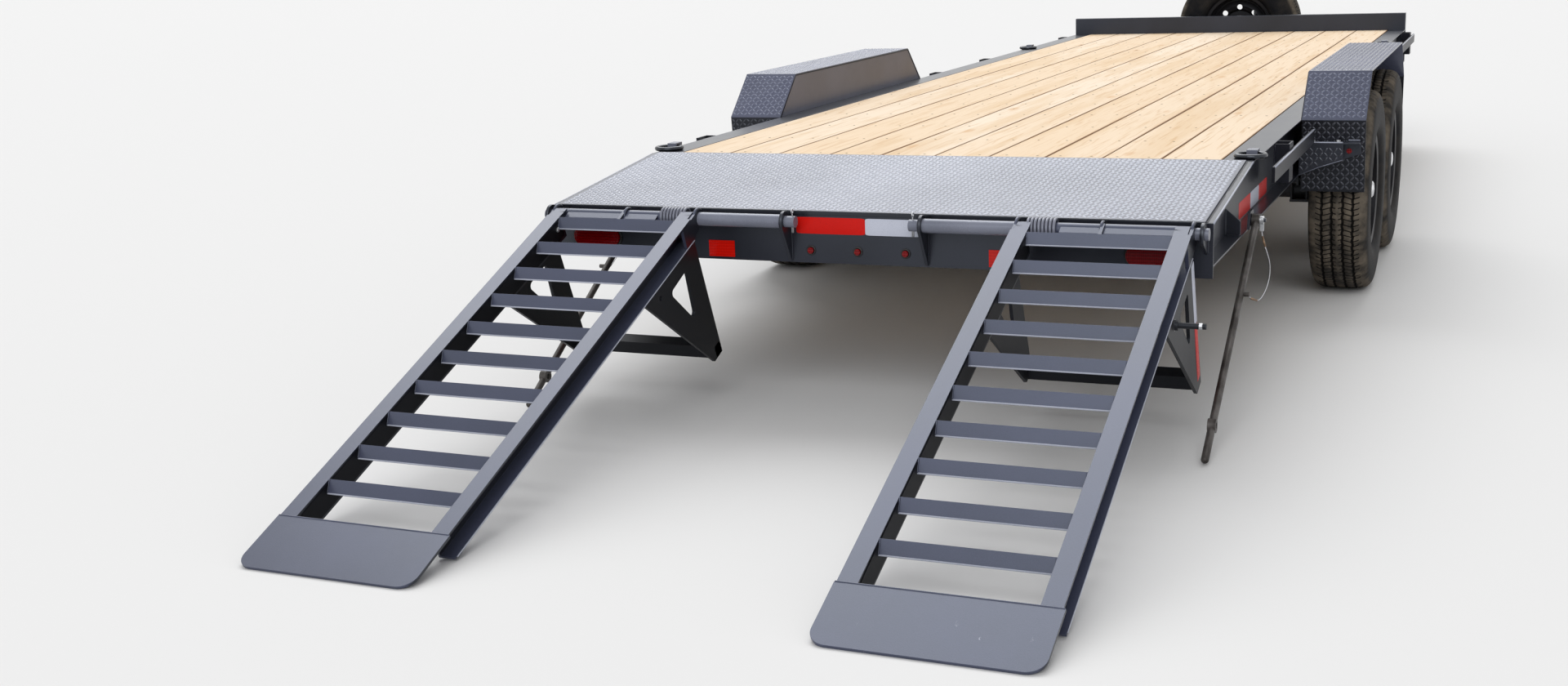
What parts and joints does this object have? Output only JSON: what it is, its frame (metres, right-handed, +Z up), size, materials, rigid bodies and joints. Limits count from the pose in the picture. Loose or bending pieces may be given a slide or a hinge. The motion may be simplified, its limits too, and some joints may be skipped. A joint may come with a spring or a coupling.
{
  "type": "equipment trailer",
  "caption": "Flat timber-decked tandem-axle trailer with a dovetail, stand-up loading ramps, fenders and a jack on its tongue.",
  "frame": {"origin": "centre of the bounding box on the floor under the tyres", "axes": "+Y towards the tongue's coupler, +X to the trailer's right side, +Z up"},
  "size_m": [2.59, 10.2258, 1.124],
  "materials": {
    "frame_paint": "satin charcoal",
    "tread_plate": "satin charcoal tread plate",
    "pine": "planed pine",
    "chassis_black": "black",
    "zinc": "zinc plated",
    "ring_black": "gloss black",
    "red_lens": "red lens",
    "tyre": "rubber",
    "wheel_black": "gloss black",
    "hub_metal": "polished",
    "spring_steel": "satin",
    "brace_steel": "weathered",
    "wire": "stranded"
  },
  "bodies": {
    "chassis": {"main_beams": "frame_paint", "rear_bumper": "frame_paint", "front_frame": "frame_paint", "cross_members": "frame_paint", "deck_boards": "pine", "tail_plate": "tread_plate", "stake_pockets": "frame_paint", "rub_rails": "frame_paint", "tongue": "frame_paint", "tongue_plates": "frame_paint", "coupler_bracket": "frame_paint", "ball_coupler": "zinc", "coupler_latch": "zinc", "axles": "chassis_black", "leaf_springs": "chassis_black", "spring_seats": "chassis_black", "spring_hangers": "chassis_black", "equalizers": "chassis_black", "shackles": "chassis_black", "spare_tyre": "tyre", "spare_rim": "wheel_black", "spare_bracket": "frame_paint", "fender_right": "frame_paint", "fender_left": "frame_paint", "fender_brackets": "frame_paint", "hinge_ears": "frame_paint", "hinge_shafts": "frame_paint", "brace_pivots": "frame_paint", "jack_sleeve": "zinc", "jack_crank": "zinc", "tie_rings": "ring_black", "ring_straps": "ring_black", "tail_lamps": "red_lens", "rear_markers": "red_lens"},
    "jack_leg": {"jack_leg": "zinc"},
    "wheel_rear_right": {"tyre_rear_right": "tyre", "rim_rear_right": "wheel_black", "hub_rear_right": "hub_metal"},
    "wheel_rear_left": {"tyre_rear_left": "tyre", "rim_rear_left": "wheel_black", "hub_rear_left": "hub_metal"},
    "wheel_front_right": {"tyre_front_right": "tyre", "rim_front_right": "wheel_black", "hub_front_right": "hub_metal"},
    "wheel_front_left": {"tyre_front_left": "tyre", "rim_front_left": "wheel_black", "hub_front_left": "hub_metal"},
    "ramp_right": {"ramp_right": "frame_paint", "ramp_knees_right": "frame_paint", "ramp_spring_right": "spring_steel"},
    "brace_right": {"brace_arm_right": "brace_steel", "lynch_pin_right": "zinc", "lanyard_right": "wire"},
    "ramp_left": {"ramp_left": "frame_paint", "ramp_knees_left": "frame_paint", "ramp_spring_left": "spring_steel"},
    "brace_left": {"brace_arm_left": "brace_steel", "lynch_pin_left": "zinc", "lanyard_left": "wire"}
  },
  "joints": [
    {"name": "jack_slide", "type": "slide", "parent": "chassis", "child": "jack_leg", "axis": [0, 0, 1], "range_m": [0, 0.24]},
    {"name": "wheel_rear_right_spin", "type": "hinge", "parent": "chassis", "child": "wheel_rear_right", "pos_m": [1.1835, -1.14457, 0.391], "axis": [-1, 0, 0], "continuous": true},
    {"name": "wheel_rear_left_spin", "type": "hinge", "parent": "chassis", "child": "wheel_rear_left", "pos_m": [-1.1835, -1.14457, 0.391], "axis": [-1, 0, 0], "continuous": true},
    {"name": "wheel_front_right_spin", "type": "hinge", "parent": "chassis", "child": "wheel_front_right", "pos_m": [1.1835, -0.25557, 0.391], "axis": [-1, 0, 0], "continuous": true},
    {"name": "wheel_front_left_spin", "type": "hinge", "parent": "chassis", "child": "wheel_front_left", "pos_m": [-1.1835, -0.25557, 0.391], "axis": [-1, 0, 0], "continuous": true},
    {"name": "ramp_right_hinge", "type": "hinge", "parent": "chassis", "child": "ramp_right", "pos_m": [0.76, -3.49207, 0.613], "axis": [-1, 0, 0], "range_deg": [0, 111.53]},
    {"name": "brace_right_hinge", "type": "hinge", "parent": "chassis", "child": "brace_right", "pos_m": [1.075, -2.80707, 0.54], "axis": [-1, 0, 0], "range_deg": [0, 60.15]},
    {"name": "ramp_left_hinge", "type": "hinge", "parent": "chassis", "child": "ramp_left", "pos_m": [-0.76, -3.49207, 0.613], "axis": [-1, 0, 0], "range_deg": [0, 111.53]},
    {"name": "brace_left_hinge", "type": "hinge", "parent": "chassis", "child": "brace_left", "pos_m": [-1.075, -2.80707, 0.54], "axis": [-1, 0, 0], "range_deg": [0, 60.15]}
  ]
}
